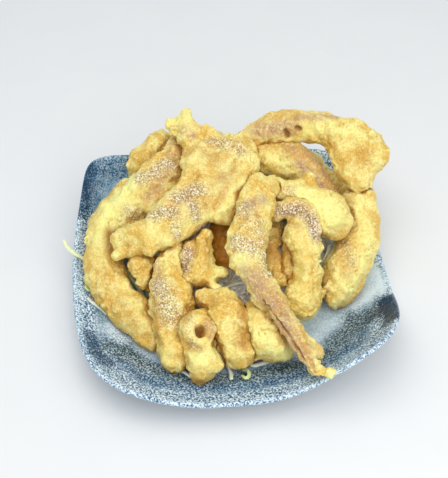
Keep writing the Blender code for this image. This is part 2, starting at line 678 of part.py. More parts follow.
def main():
    """Build the dish, then the food from the top of the heap down, then the cabbage."""
    for old in list(bpy.data.objects):
        bpy.data.objects.remove(old)
    dish = build_dish()
    give_material(dish, GLAZE_COLOUR, GLAZE_ROUGHNESS, coat=GLAZE_COAT)
    placed = []
    for seed, (name, flatness, strands, nubs, faces) in enumerate(PIECES):
        body = build_piece(name, flatness, strands, nubs, faces, seed + 1)
        dents = [dent(body, above) for above in placed]
        if any(dents):
            thin_out(body, THIN_OUT)
        placed.append(body)
        give_material(body, BATTER_COLOUR, BATTER_ROUGHNESS)
    cabbage = build_cabbage()
    for above in placed:
        dent(cabbage, above, MOUND_GAP)
    thin_out(cabbage, MOUND_THIN_OUT)
    placed.append(cabbage)
    give_material(cabbage, CABBAGE_COLOUR, CABBAGE_ROUGHNESS)
    for index, (name, points) in enumerate(LOOSE_SHREDS):
        strip = build_shred(name, points, SHRED_ROLL_STEP * index)
        for above in placed:
            dent(strip, above)
        give_material(strip, CABBAGE_COLOUR, CABBAGE_ROUGHNESS)


main()
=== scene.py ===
"""Looks of the fried calamari: crisp batter, shredded cabbage and a speckled glazed dish.

Metres, +Z up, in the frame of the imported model. Sizes below are in millimetres unless
they say otherwise. Every solid is replaced by a finer mesh of the same form.
"""
import math
import random

import bmesh
import bpy
import numpy as np
from mathutils import Matrix, Vector, noise
from mathutils.bvhtree import BVHTree


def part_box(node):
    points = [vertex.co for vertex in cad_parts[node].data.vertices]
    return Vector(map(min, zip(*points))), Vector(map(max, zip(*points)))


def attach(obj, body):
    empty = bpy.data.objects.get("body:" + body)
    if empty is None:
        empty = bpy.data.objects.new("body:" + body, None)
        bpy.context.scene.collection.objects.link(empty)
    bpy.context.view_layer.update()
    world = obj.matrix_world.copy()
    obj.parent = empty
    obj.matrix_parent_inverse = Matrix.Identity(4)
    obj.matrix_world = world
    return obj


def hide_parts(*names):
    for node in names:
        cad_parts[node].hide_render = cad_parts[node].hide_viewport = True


MM = 0.001
# Stands in for the squared length of a line that has only one place
NO_LENGTH = 1e-9

# The camera, found from the dish in the photograph. Angles in degrees
IMAGE_WIDTH = 448
IMAGE_HEIGHT = 478
FOCAL_PIXELS = 924.0
SENSOR = 36.0
CLIP_START = 10.0
CAMERA_PITCH = 48.85
CAMERA_YAW = 5.29
CAMERA_ROLL = -1.38
CAMERA_DISTANCE = 672.3
CAMERA_AIM = (0.2, 43.1, 0.0)

# The light: an even sky, and soft square lamps as (name, place, size, power, colour), in
# metres and watts. The floor's size is in metres too
SKY_COLOUR = (0.89, 0.95, 1.0, 1.0)
SKY_STRENGTH = 0.66
LAMP_AIM = (0.0, 0.0, 0.03)
LAMPS = [
    ("key", (-0.10, -0.02, 0.85), 0.6, 2.35, (1.0, 0.99, 0.97)),
    ("fill", (0.22, -0.50, 0.62), 0.8, 3.0, (1.0, 0.98, 0.96)),
]
FLOOR_HALF_WIDTH = 2.5
FLOOR_CELLS = 8

# The dish: a soft square seen from above, whose four corners differ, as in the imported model
SIDE_POWER = 3.65
# Each corner as (sharpness of the outline, pull of its corner, lift of the rim, power of the lift)
FAR_LEFT_CORNER = (10.0, -0.10, 23.5, 1.85)
NEAR_LEFT_CORNER = (4.2, -0.04, 10.5, 4.8)
NEAR_RIGHT_CORNER = (4.7, -0.05, 33.0, 2.9)
FAR_RIGHT_CORNER = (5.0, -0.02, 12.0, 2.5)
PULL_POWER = 2.4
LEFT_RIM_Z = 24.0
RIGHT_RIM_Z = 13.0
FRONT_RIM_Z = 22.0
BACK_RIM_Z = 18.0
WELL_Z = 7.5
WALL_START = 0.52
WALL_POWER = 2.3
DISH_THICKNESS = 5.0
DISH_SEGMENTS = 256
SEGMENT_CROWDING = 0.1
DISH_RINGS = 46
LAST_INNER_SHARE = 0.985
# The rounded rim: its reach past the outline, its radius, how far inside the outline its middle
# lies, and the degrees that it turns through
RIM_REACH = 1.6
RIM_RADIUS = 1.9
RIM_INSET = 0.3
RIM_DEGREES = range(80, -61, -20)
UNDER_SHARES = (0.97, 0.93, 0.88, 0.82, 0.76, 0.70)
UNDER_REACH = 0.8
UNDER_LOWEST_Z = 2.6
FOOT_SHARE = 0.60
FOOT_FLARE = 0.02
FOOT_TOP_Z = 2.4
FOOT_ROUNDING = 0.003
FOOT_ROUNDING_Z = 0.4
FOOT_MIDDLE_SHARE = 0.3

# Where the glaze changes on the way out to the rim, as shares of it: (start, end of the change)
WELL_BAND = (0.45, 0.62)
RIM_BAND = (0.88, 0.92)
EDGE_BAND = (0.965, 0.98)
# Dark bands of the front alone: (middle, width)
OLIVE_BAND = (0.77, 0.06)
NAVY_BAND = (0.85, 0.045)
# The front in degrees round the dish: where its bands come in, and where they fade
FRONT_START = (-162.0, -145.0)
FRONT_END = (-36.0, -20.0)
# How unevenly the bands run, how quickly a patch gains its strength, and how far patches hide the edge
RIPPLE_SIZE = 18.0
RIPPLE_SHARE = 0.02
RIPPLE_SHIFT = np.array([1.0, 5.0, 2.0])
PATCH_SPREAD = 1.6
COVERED_EDGE = 0.9
# White specks: (share of white, contrast) of the plain glaze, then (tone, share, contrast)
PLAIN_SPECKS = (0.49, 0.09)
GLAZE_SPECKS = [
    ("well", 1.0, 0.06),
    ("olive", 0.03, 0.52),
    ("navy", 0.0, 0.66),
    ("rim", 0.45, 0.9),
    ("blue", 0.24, 0.26),
    ("pale", 1.05, 0.3),
    ("pool", -0.36, 0.48),
    ("edge", 0.58, 0.6),
]
# Patches of colour in the glaze: (tone, pixels along it, width, strength)
GLAZE_PATCHES = [
    ("blue", [(100, 160), (128, 160), (120, 172), (90, 170), (84, 186), (92, 196)], 20.0, 1.0),
    ("pool", [(88, 168), (84, 178), (81, 190)], 11.0, 0.8),
    ("blue", [(84, 325), (92, 350), (106, 366)], 9.0, 0.6),
    ("pool", [(90, 335), (97, 352), (108, 362)], 8.0, 0.6),
    ("olive", [(97, 308), (108, 325)], 9.0, 0.35),
    ("olive", [(112, 348), (130, 358), (150, 368)], 11.0, 0.8),
    # Painted reflection: a pale glossy streak on the near wall
    ("pale", [(112, 330), (135, 342), (152, 352)], 10.0, 0.5),
    ("pool", [(389, 300), (392, 308), (395, 314)], 16.0, 1.0),
    ("pool", [(384, 306), (370, 318)], 10.0, 0.5),
    ("olive", [(384, 306), (360, 322), (335, 340)], 13.0, 0.85),
    ("pale", [(380, 245), (376, 280), (350, 296), (365, 275)], 20.0, 1.0),
    ("pale", [(340, 305), (320, 322), (305, 335)], 16.0, 0.4),
    ("pale", [(77, 215), (75, 260), (76, 300)], 9.0, 0.45),
]
# What the glaze's material reads at each corner of the mesh
GLAZE_TONES = ("well", "blue", "navy", "olive", "pool", "white", "specks")
# Colours in linear light, as (red, green, blue, alpha), here and below
GLAZE_COLOURS = {
    "slate": (0.10, 0.23, 0.33, 1.0),
    "lilac": (0.18, 0.27, 0.38, 1.0),
    "beige": (0.26, 0.25, 0.19, 1.0),
    "blue": (0.035, 0.31, 0.60, 1.0),
    "navy": (0.004, 0.085, 0.20, 1.0),
    "olive": (0.028, 0.055, 0.058, 1.0),
    "pool": (0.0005, 0.028, 0.080, 1.0),
    "white": (0.78, 0.92, 1.0, 1.0),
}

# The batter: how finely each crust is remeshed, smoothed and grown back to its solid
SHOWN_VOXEL = 0.65
HIDDEN_VOXEL = 1.3
SMOOTHING = 22
REGAIN = 0.45
# How much further a few crusts reach, where the photograph shows them joined
SWELLS = {"calamari_lobe": 1.0, "calamari_under_fold": 0.6, "calamari_inner_loop": 0.6}
# Pieces that hardly show from the photograph's camera
HIDDEN_PIECES = (
    "calamari_back_drop", "calamari_back_hook", "calamari_back_stem", "calamari_back_slope",
    "calamari_back_ridge", "calamari_right_rise", "calamari_under_broad",
)
# The relief of a crust, from its broad lumps to its grain
LUMP_SIZE = 12.0
LUMP_DEPTH = 1.8
KNOB_SIZE = 6.0
KNOB_DEPTH = 1.7
RIDGE_SIZE = 9.0
RIDGE_DEPTH = 0.6
RIDGE_FOOT = 0.3
RIDGE_LEVEL = 0.35
PEBBLE_SIZE = 4.4
PEBBLE_DEPTH = 0.6
PEBBLE_REACH = 0.85
PEBBLE_LEVEL = 0.6
CRUMB_SIZE = 2.7
CRUMB_DEPTH = 0.7
CRUMB_SHARE = 0.42
NUB_SIZE = 6.5
NUB_DEPTH = 1.9
NUB_SHARE = 0.30
CREST_POWER = 1.5
CRUMB_REACH = 0.55
SMALLEST_CRUMB = 0.35
GRAIN_SIZE = 1.5
GRAIN_DEPTH = 0.34
# How rough each stretch of a crust is, from its noise, and how much relief is left where it is smooth
ROUGH_SIZE = 15.0
ROUGH_MIDDLE = 0.6
ROUGH_CONTRAST = 1.8
ROUGH_RANGE = (0.1, 1.2)
SMOOTH_KNOBS = 0.4
SMOOTH_CRUMBS = 0.3
SMOOTH_NUBS = 0.2
SMOOTH_GRAIN = 0.35
# How far the places wander before ridges and nubs are drawn, so that these look less even
BEND_REACH = 1.2
BEND_SIZE = 3.0
BEND_STEP = 5.0
TWIST_REACH = 4.0
TWIST_SIZE = 5.0
TWIST_STEP = -4.0
# Shifts of the noise, which keep the crusts apart, and the kinds of relief on one crust
CRUST_SHIFT = np.array([3.7, 1.9, 5.3])
ROUGH_SHIFT_SHARE = 0.7
KNOB_SHIFT = 4.0
RIDGE_SHIFT = 2.0
CRUMB_SHIFT = 9.0
NUB_SHIFT = 13.0
GRAIN_SHIFT = -4.0
# What turns a crumb's place into its luck, which settles whether it is there and how large it is
LUCK_MIX = Vector((12.9, 78.2, 37.7))
LUCK_SPREAD = 43758.5
# How hollow each place is, from the average round it, and how much other pieces shade it. The
# slant only serves to work out two directions across each normal
# The batter's colour turns these into painted shade in hollows and near other pieces, and painted highlight
# on crests
HOLLOW_ROUNDS = 16
HOLLOW_CONTRAST = 1.8
SHADE_ROUNDS = 6
SHADE_START = 2.2
SHADE_REACH = 16.0
SLANT = Vector((0.3, 0.5, 0.8))
# The lemon and cream colours are partly painted highlight; toasted partly, amber and the two darkest wholly
# painted shade
BATTER_COLOURS = {
    "pale": (0.93, 0.79, 0.27, 1.0),
    "golden": (0.80, 0.51, 0.085, 1.0),
    "lemon": (1.0, 0.95, 0.34, 1.0),
    "cream": (0.98, 0.91, 0.42, 1.0),
    "toasted": (0.61, 0.32, 0.05, 1.0),
    "amber": (0.45, 0.20, 0.014, 1.0),
    "deep": (0.24, 0.075, 0.006, 1.0),
    "glow": (0.44, 0.17, 0.005, 1.0),
    "rosy": (0.50, 0.28, 0.18, 1.0),
    "dusk": (0.52, 0.38, 0.20, 1.0),
    "umber": (0.27, 0.17, 0.09, 1.0),
    "white": (1.0, 0.96, 0.84, 1.0),
}
# Tones kept on each crust: the two darkest are painted shade, brown partly so, and lemon partly painted
# highlight
CRUST_TONES = ("lemon", "brown", "pink", "crumb", "deep", "glow")
# How strongly a groove takes its tone; in the darkest grooves that is painted shade
GROOVE_TINT = 0.9
# The sandy relief of the crumb patches
SAND_SIZE = 1.1
SAND_DEPTH = 1.1
SAND_SHIFT = np.array([2.0, 7.0, 1.0])

# Patches of colour on each crust: (tone, pixels along it, width, strength)
# The lemon tone is partly painted highlight, and the white dots of the crumb patches partly painted glints
# The two darkest tones are painted shade in holes, slits and gaps, the brown one partly painted shade
PATCHES = {
    "calamari_left_arc": [
        ("lemon", [(128, 184), (112, 205), (103, 238)], 20.0, 1.0),
        ("pink", [(176, 145), (168, 172), (150, 196)], 9.0, 0.7),
        ("crumb", [(170, 162), (150, 175), (140, 178)], 9.0, 1.0),
        ("brown", [(95, 250), (105, 290), (130, 322), (155, 345)], 13.0, 0.5),
        ("brown", [(134, 321)], 9.0, 0.8),
        ("glow", [(109, 232), (111, 246), (117, 256)], 7.0, 0.8),
        ("lemon", [(98, 240), (100, 262)], 10.0, 0.7),
        ("lemon", [(140, 305), (143, 318)], 8.0, 0.6),
        ("crumb", [(128, 212), (136, 216)], 8.0, 0.6),
    ],
    "calamari_back_curl": [
        ("pink", [(160, 170), (145, 172)], 6.0, 0.5),
        ("brown", [(140, 158)], 10.0, 0.4),
    ],
    "calamari_broad": [
        ("crumb", [(213, 140), (240, 150)], 10.0, 0.7),
        ("crumb", [(176, 198), (198, 190)], 9.0, 1.0),
        ("crumb", [(193, 205), (197, 216)], 7.0, 1.0),
        ("crumb", [(152, 214), (172, 212)], 8.0, 1.0),
        ("crumb", [(176, 226), (177, 236)], 6.0, 0.8),
        ("crumb", [(200, 228), (210, 226)], 6.0, 0.7),
        ("brown", [(229, 182), (222, 194)], 6.0, 0.9),
        ("brown", [(129, 245)], 7.0, 1.0),
        ("brown", [(222, 175), (228, 186)], 6.0, 0.8),
        ("lemon", [(150, 232), (165, 240)], 9.0, 0.5),
        ("glow", [(206, 226), (222, 222)], 4.0, 0.7),
        ("lemon", [(225, 168), (230, 205), (215, 215)], 11.0, 0.6),
        ("pink", [(205, 150), (225, 170), (205, 200), (185, 215)], 14.0, 0.3),
        ("lemon", [(168, 122), (188, 118)], 9.0, 0.8),
        ("pink", [(183, 129), (193, 136)], 5.0, 0.9),
        ("brown", [(184, 150), (190, 152)], 6.0, 0.9),
    ],
    "calamari_arch": [
        ("pink", [(257, 130), (290, 126)], 11.0, 1.0),
        ("brown", [(287, 133), (298, 130)], 6.0, 1.0),
        ("pink", [(300, 117), (335, 117)], 7.0, 0.8),
        ("brown", [(325, 135), (335, 140)], 9.0, 0.4),
        ("lemon", [(305, 128), (345, 130)], 11.0, 0.8),
        ("brown", [(340, 190), (352, 196), (362, 155)], 12.0, 0.8),
        ("glow", [(340, 186), (350, 192)], 7.0, 0.4),
        ("lemon", [(340, 122), (362, 138)], 9.0, 0.6),
    ],
    # Painted shade under the arch: this band's brown and pink patches
    "calamari_inner_band": [
        ("lemon", [(268, 154), (284, 160)], 9.0, 0.7),
        ("pink", [(300, 163), (322, 186)], 8.0, 1.0),
        ("brown", [(290, 150), (312, 160), (328, 178), (336, 194)], 12.0, 1.0),
        ("pink", [(292, 148), (314, 158), (330, 176), (338, 190)], 9.0, 0.7),
        ("brown", [(262, 145), (285, 146), (300, 152)], 8.0, 1.0),
    ],
    "calamari_bright": [
        ("lemon", [(298, 200), (325, 206), (335, 215)], 19.0, 1.0),
        ("brown", [(345, 232), (335, 240)], 9.0, 0.5),
        ("crumb", [(262, 185), (290, 192)], 8.0, 0.5),
    ],
    "calamari_long": [
        ("crumb", [(236, 242), (252, 248)], 10.0, 1.0),
        ("crumb", [(243, 208), (262, 240)], 12.0, 0.6),
        ("lemon", [(238, 258), (245, 275)], 9.0, 0.8),
        ("lemon", [(262, 200), (266, 225)], 8.0, 0.4),
        ("crumb", [(265, 255), (268, 272)], 8.0, 0.9),
        ("pink", [(252, 172), (268, 172)], 9.0, 0.9),
        ("pink", [(250, 278), (275, 310), (295, 345), (308, 375)], 15.0, 1.0),
        ("brown", [(258, 270), (275, 290), (290, 312)], 7.0, 0.6),
        ("lemon", [(312, 335), (318, 365)], 5.0, 0.8),
        ("lemon", [(330, 374)], 7.0, 0.9),
    ],
    "calamari_hook": [
        ("crumb", [(280, 210), (300, 208), (312, 220), (316, 235)], 8.0, 1.0),
        ("pink", [(280, 212), (300, 210), (312, 222), (316, 238)], 7.0, 0.9),
        ("brown", [(285, 222), (298, 226)], 6.0, 0.9),
        ("lemon", [(300, 250), (303, 300)], 11.0, 0.5),
    ],
    "calamari_right_fall": [
        ("brown", [(340, 245), (350, 270)], 11.0, 0.5),
        ("crumb", [(345, 245), (352, 262)], 8.0, 0.4),
        ("lemon", [(358, 205), (366, 250), (350, 290)], 10.0, 0.7),
    ],
    "calamari_neck": [
        ("pink", [(188, 252), (186, 285)], 8.0, 1.0),
        ("crumb", [(188, 252), (186, 285)], 8.0, 0.8),
        ("lemon", [(219, 272), (214, 290)], 7.0, 0.8),
        ("glow", [(206, 240), (208, 265)], 4.0, 0.5),
    ],
    "calamari_left_stem": [
        ("crumb", [(160, 288), (172, 316)], 13.0, 0.9),
        ("lemon", [(170, 345), (168, 358)], 8.0, 0.5),
        ("pink", [(152, 262), (158, 285)], 7.0, 0.8),
        ("glow", [(154, 300), (158, 335)], 5.0, 0.5),
    ],
    "calamari_front_knot": [
        ("brown", [(200, 331)], 7.0, 1.0),
        ("deep", [(200, 331)], 5.5, 1.0),
        ("crumb", [(188, 318), (192, 345)], 7.0, 0.5),
        ("pink", [(208, 326), (214, 334)], 6.0, 0.8),
        ("brown", [(195, 375), (210, 375)], 12.0, 0.4),
        ("lemon", [(195, 355), (202, 365)], 14.0, 0.8),
    ],
    "calamari_front_centre": [
        ("brown", [(243, 315), (240, 340)], 8.0, 0.7),
        ("brown", [(198, 298), (215, 300)], 9.0, 0.7),
        ("glow", [(242, 306), (244, 345)], 6.0, 0.7),
    ],
    "calamari_under_fold": [
        ("glow", [(215, 232), (220, 250), (221, 268)], 34.0, 1.0),
        ("deep", [(214, 236), (220, 234)], 7.0, 0.8),
        ("deep", [(216, 256), (222, 262)], 7.0, 0.7),
    ],
    "calamari_under_broad": [
        ("glow", [(215, 225), (230, 225)], 22.0, 0.8),
    ],
    "calamari_inner_stem": [
        ("glow", [(270, 248), (275, 256)], 7.0, 0.6),
        ("brown", [(272, 245), (272, 275)], 12.0, 0.8),
    ],
    "calamari_inner_loop": [
        ("brown", [(288, 245), (290, 275)], 12.0, 0.6),
    ],
    "calamari_front_right": [
        ("lemon", [(258, 330), (285, 355)], 12.0, 0.7),
        ("glow", [(245, 312), (246, 345)], 6.0, 0.8),
    ],
}

# Grooves worked into the crusts: (tone, pixels along it, width, depth)
# The darkest grooves are painted shade in the crease, the brown ones partly so
GROOVES = {
    "calamari_long": [
        ("deep", [(262, 301), (270, 311), (284, 329), (298, 350), (309, 372)], 2.0, 2.0),
        ("pink", [(256, 292), (266, 303), (280, 322)], 5.0, 1.2),
        ("pink", [(272, 295), (284, 310), (298, 333), (309, 356), (314, 372)], 2.6, 1.4),
    ],
    "calamari_front_knot": [
        ("deep", [(199, 329), (200, 334)], 3.6, 5.0),
        ("pink", [(207, 318), (213, 324), (210, 338)], 2.6, 1.2),
        ("brown", [(186, 346), (200, 349), (214, 344)], 4.0, 1.6),
    ],
    "calamari_lobe": [
        ("deep", [(158, 258), (154, 272), (151, 285)], 3.6, 1.6),
    ],
    "calamari_arch": [
        ("deep", [(286, 131), (288, 136)], 3.0, 2.2),
        ("deep", [(297, 127), (300, 129)], 2.6, 1.8),
        ("pink", [(296, 112), (292, 124)], 3.4, 1.8),
    ],
    "calamari_broad": [
        ("brown", [(196, 172), (188, 196), (170, 210)], 5.0, 1.4),
        ("brown", [(236, 160), (226, 190), (214, 208)], 4.0, 1.3),
    ],
}

# The cabbage: a core, the shreds that lie over it, and the loose shreds beside it
CORE_VOXEL = 1.6
CORE_ROUNDS = 3
CORE_SINK = 0.5
CORE_GREEN = 0.15
STRAND_SIZE = 4.0
STRAND_STRETCH = np.array([1.0, 2.2, 1.4])
STRAND_SHIFT = np.array([4.0, 1.0, 2.0])
SHRED_SEED = 5
SHRED_COUNT = 420
SHRED_SHARES = (0.02, 0.98)
SHRED_POINTS = (8, 16)
FEWEST_POINTS = 4
SHRED_STEP = 3.6
SHRED_BEND = 0.16
SHRED_WANDER = 0.12
SHRED_LIFTS = (0.1, 1.2)
SHRED_WAVE = 0.5
SHRED_WAVE_STEP = 0.9
SHRED_DROP_Z = 200.0
SHRED_WIDTHS = (2.4, 4.2)
SHRED_THICKNESSES = (0.6, 1.0)
SHRED_ROLL = 0.6
# How a shred tilts and turns along its path, and how its width tapers to the ends
SHRED_TILT = 0.5
SHRED_TURN_STEP = 0.15
SHRED_FLATNESS = 1.6
END_WIDTH = 0.55
EXTRA_WIDTH = 0.45
END_POINTS = 0.6
SHRED_GREENS = (0.05, 0.1, 0.2, 0.3, 0.6)
SIDE_GREEN = 0.15
# A shred's section, as (share of half its width, share of its thickness)
SHRED_SECTION = ((-1.0, 0.25), (0.0, -0.25), (1.0, 0.25), (1.0, 1.25), (0.0, 0.75), (-1.0, 1.25))
LOOSE_VOXEL = 0.4
LOOSE_ROUNDS = 2
LOOSE_GROWTH = 0.15
LOOSE_WAVE = 0.35
LOOSE_WAVE_SIZE = 3.0
LOOSE_GREEN_CHANGE = 0.3
LOOSE_GREEN_SIZE = 5.0
# How green each loose shred is, from 0 for white to 1
LOOSE_GREENS = {
    "shred_left_rim": 0.55, "shred_left_green": 0.9, "shred_left_thin": 0.1, "shred_front_white": 0.0,
    "shred_front_curl": 0.25, "shred_front_ring": 0.8, "shred_front_flat": 0.0, "shred_right_gap": 0.1,
    "shred_left_gap": 0.7,
}
CABBAGE_COLOURS = {
    "rib": (0.98, 0.97, 0.76, 1.0),
    "leaf": (0.60, 0.78, 0.26, 1.0),
    "shadow": (0.34, 0.22, 0.06, 1.0),
}
FLOOR_COLOURS = ((0.80, 0.80, 0.80, 1.0), (0.84, 0.84, 0.83, 1.0))


def noise_list(points, size, shift):
    """Smooth noise, about -0.7 to 0.7, at each place in millimetres."""
    return np.array([noise.noise(Vector(p)) for p in (points / size + shift)])


def eased(share):
    """A share kept between 0 and 1, with a smooth start and end."""
    inside = np.clip(share, 0.0, 1.0)
    return inside * inside * (3.0 - 2.0 * inside)


def ramp(value, low, high):
    """0 below the low value, 1 above the high one, smooth between."""
    return eased((value - low) / (high - low))


def hump(value, middle, width):
    """1 at the middle value, falling smoothly to 0 away from it."""
    return np.exp(-((value - middle) / width) ** 2)


def make_camera():
    """The photograph's camera, and its place and axes for casting rays."""
    pitch = math.radians(CAMERA_PITCH)
    yaw = math.radians(CAMERA_YAW)
    roll = math.radians(CAMERA_ROLL)
    forward = Vector((math.sin(yaw) * math.cos(pitch), math.cos(yaw) * math.cos(pitch), -math.sin(pitch)))
    level = Vector((math.cos(yaw), -math.sin(yaw), 0.0))
    upward = level.cross(forward)
    right = level * math.cos(roll) + upward * math.sin(roll)
    up = upward * math.cos(roll) - level * math.sin(roll)
    place = (Vector(CAMERA_AIM) - forward * CAMERA_DISTANCE) * MM
    data = bpy.data.cameras.new("camera")
    data.sensor_width = SENSOR
    data.lens = FOCAL_PIXELS * SENSOR / IMAGE_HEIGHT
    data.clip_start = CLIP_START * MM
    camera = bpy.data.objects.new("camera", data)
    camera.matrix_world = Matrix((
        (right.x, up.x, -forward.x, place.x),
        (right.y, up.y, -forward.y, place.y),
        (right.z, up.z, -forward.z, place.z),
        (0.0, 0.0, 0.0, 1.0),
    ))
    bpy.context.scene.collection.objects.link(camera)
    bpy.context.scene.camera = camera
    return place, right, up, forward


def pixel_ray(u, v):
    """The direction from the camera through a pixel of the photograph."""
    across = (u - IMAGE_WIDTH / 2) / FOCAL_PIXELS
    down = (v - IMAGE_HEIGHT / 2) / FOCAL_PIXELS
    return (eye_forward + eye_right * across - eye_up * down).normalized()


def seen_at(piece, u, v):
    """The place on a piece at a pixel, or the nearest place where the ray passes it by."""
    direction = pixel_ray(u, v)
    hit, spot, _, _ = piece.ray_cast(eye, direction)
    if not hit:
        middle = sum((Vector(c) for c in piece.bound_box), Vector()) / 8.0
        aside = eye + direction * (middle - eye).dot(direction)
        spot = piece.closest_point_on_mesh(aside)[1]
    return np.array(spot) / MM


def nearness_along(points, piece, pixels, width):
    """1 on the line that pixels draw on a piece, or at a single one, falling smoothly to 0 at the width."""
    line = [seen_at(piece, u, v) for u, v in pixels]
    best = np.full(len(points), np.inf)
    for start, end in zip(line, line[1:] or line):
        along = end - start
        length = max(float(along @ along), NO_LENGTH)
        share = np.clip((points - start) @ along / length, 0.0, 1.0)
        best = np.minimum(best, np.linalg.norm(points - (start + share[:, None] * along), axis=1))
    return eased(1.0 - best / width)


def link(name, mesh):
    """A new object of a mesh, in the scene."""
    piece = bpy.data.objects.new(name, mesh)
    bpy.context.scene.collection.objects.link(piece)
    return piece


def mesh_from(data, name):
    """A mesh of what was built face by face."""
    mesh = bpy.data.meshes.new(name)
    data.to_mesh(mesh)
    data.free()
    return mesh


def places_of(mesh):
    """The mesh's corners as an array, in millimetres."""
    flat = np.empty(len(mesh.vertices) * 3)
    mesh.vertices.foreach_get("co", flat)
    return flat.reshape(-1, 3) / MM


def normals_of(mesh):
    """The mesh's corner normals as an array."""
    flat = np.empty(len(mesh.vertices) * 3)
    mesh.vertices.foreach_get("normal", flat)
    return flat.reshape(-1, 3)


def edges_of(mesh):
    """The two corners of each edge, as an array."""
    flat = np.empty(len(mesh.edges) * 2, dtype=np.int64)
    mesh.edges.foreach_get("vertices", flat)
    return flat.reshape(-1, 2)


def move_to(mesh, points):
    """Put the mesh's corners at places given in millimetres."""
    mesh.vertices.foreach_set("co", (points * MM).ravel())
    mesh.update()


def grow(mesh, depths):
    """Move the mesh's corners outward, by one depth in millimetres or by one each."""
    move_to(mesh, places_of(mesh) + normals_of(mesh) * np.reshape(depths, (-1, 1)))


def averaged(values, edges, rounds):
    """Values at the corners, each mixed with its neighbours' a number of times."""
    count = len(values)
    ends = np.concatenate([edges[:, 0], edges[:, 1]])
    others = np.concatenate([edges[:, 1], edges[:, 0]])
    neighbours = np.maximum(np.bincount(ends, minlength=count), 1)
    columns = values.reshape(count, -1)
    for _ in range(rounds):
        sums = [np.bincount(ends, weights=column[others], minlength=count) for column in columns.T]
        columns = 0.5 * columns + 0.5 * np.stack([total / neighbours for total in sums], axis=1)
    return columns.reshape(values.shape)


def store(mesh, name, values):
    """Keep one number for each corner, for the material to read."""
    kept = mesh.attributes.new(name, "FLOAT", "POINT")
    kept.data.foreach_set("value", np.asarray(values, dtype=np.float32))


def finer_copy(node, ending, voxel, rounds):
    """A finer copy of a node's solid, made anew on a grid and smoothed a number of times."""
    piece = link(node + ending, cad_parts[node].data.copy())
    piece.data.materials.clear()
    modifier = piece.modifiers.new("Remesh", "REMESH")
    modifier.mode = "VOXEL"
    modifier.voxel_size = voxel * MM
    depsgraph = bpy.context.evaluated_depsgraph_get()
    mesh = bpy.data.meshes.new_from_object(piece.evaluated_get(depsgraph))
    piece.modifiers.clear()
    old = piece.data
    piece.data = mesh
    bpy.data.meshes.remove(old)
    move_to(mesh, averaged(places_of(mesh), edges_of(mesh), rounds))
    return piece


def wandered(points, reach, size, shift, step):
    """The places, each moved a little by smooth noise of its own in each direction."""
    moves = [noise_list(points, size, shift + step * axis) for axis in range(3)]
    return points + reach * np.stack(moves, axis=1)


def pebble_list(points, size, shift):
    """Rounded pebbles with creases between them, 0 in a crease and 1 on top."""
    nearest = [noise.voronoi(Vector(p))[0][0] for p in (points / size + shift)]
    return 1.0 - np.clip(np.array(nearest) / PEBBLE_REACH, 0.0, 1.0) ** 2


def crumb_list(points, size, share, shift):
    """Round crumbs in a share of the places, 0 between them and up to 1 on top of the largest."""
    heights = []
    for place in points / size + shift:
        distances, centres = noise.voronoi(Vector(place))
        luck = (math.sin(centres[0].dot(LUCK_MIX)) * LUCK_SPREAD) % 1.0
        reach = distances[0] / CRUMB_REACH
        if luck < share and reach < 1.0:
            top = SMALLEST_CRUMB + (1.0 - SMALLEST_CRUMB) * luck / share
            heights.append(math.sqrt(1.0 - reach * reach) * top)
        else:
            heights.append(0.0)
    return np.array(heights)


def relief_at(points, shift):
    """How far a crust's relief stands out at each place, in millimetres."""
    unevenness = noise_list(points, ROUGH_SIZE, shift * ROUGH_SHIFT_SHARE)
    rough = np.clip(ROUGH_MIDDLE + ROUGH_CONTRAST * unevenness, *ROUGH_RANGE)

    def uneven(smooth):
        """A share that is left where the crust is smooth, rising to 1 where it is rough."""
        return smooth + (1.0 - smooth) * rough

    bent = wandered(points, BEND_REACH, BEND_SIZE, shift, BEND_STEP)
    twisted = wandered(points, TWIST_REACH, TWIST_SIZE, shift, TWIST_STEP)
    crest = 1.0 - np.minimum(np.abs(noise_list(bent, RIDGE_SIZE, shift + RIDGE_SHIFT)) / RIDGE_FOOT, 1.0)
    nubs = crumb_list(twisted, NUB_SIZE, NUB_SHARE, shift + NUB_SHIFT) ** CREST_POWER
    crumbs = crumb_list(bent, CRUMB_SIZE, CRUMB_SHARE, shift + CRUMB_SHIFT)
    relief = LUMP_DEPTH * noise_list(points, LUMP_SIZE, shift)
    relief += KNOB_DEPTH * uneven(SMOOTH_KNOBS) * noise_list(points, KNOB_SIZE, shift + KNOB_SHIFT)
    relief += RIDGE_DEPTH * (crest ** CREST_POWER - RIDGE_LEVEL)
    relief += PEBBLE_DEPTH * rough * (pebble_list(bent, PEBBLE_SIZE, shift) - PEBBLE_LEVEL)
    relief += CRUMB_DEPTH * uneven(SMOOTH_CRUMBS) * crumbs
    relief += NUB_DEPTH * uneven(SMOOTH_NUBS) * nubs
    relief += GRAIN_DEPTH * (SMOOTH_GRAIN + rough) * noise_list(points, GRAIN_SIZE, shift + GRAIN_SHIFT)
    return relief


def crusted(node, voxel, seed):
    """A finer copy of a calamari solid, with lumps, pebbles, crumbs and grain in its crust."""
    piece = finer_copy(node, "_crust", voxel, int(SMOOTHING * (SHOWN_VOXEL / voxel) ** 2) + 1)
    mesh = piece.data
    grow(mesh, REGAIN + SWELLS.get(node, 0.0))
    grow(mesh, relief_at(places_of(mesh), CRUST_SHIFT * (seed + 1)))
    points = places_of(mesh)
    normals = normals_of(mesh)
    edges = edges_of(mesh)
    hollow = np.einsum("ij,ij->i", averaged(points, edges, HOLLOW_ROUNDS) - points, normals)
    store(mesh, "hollow", np.clip(hollow * HOLLOW_CONTRAST, -1.0, 1.0))
    store(mesh, "shade", averaged(shade_of(mesh), edges, SHADE_ROUNDS))
    mesh.shade_smooth()
    return piece


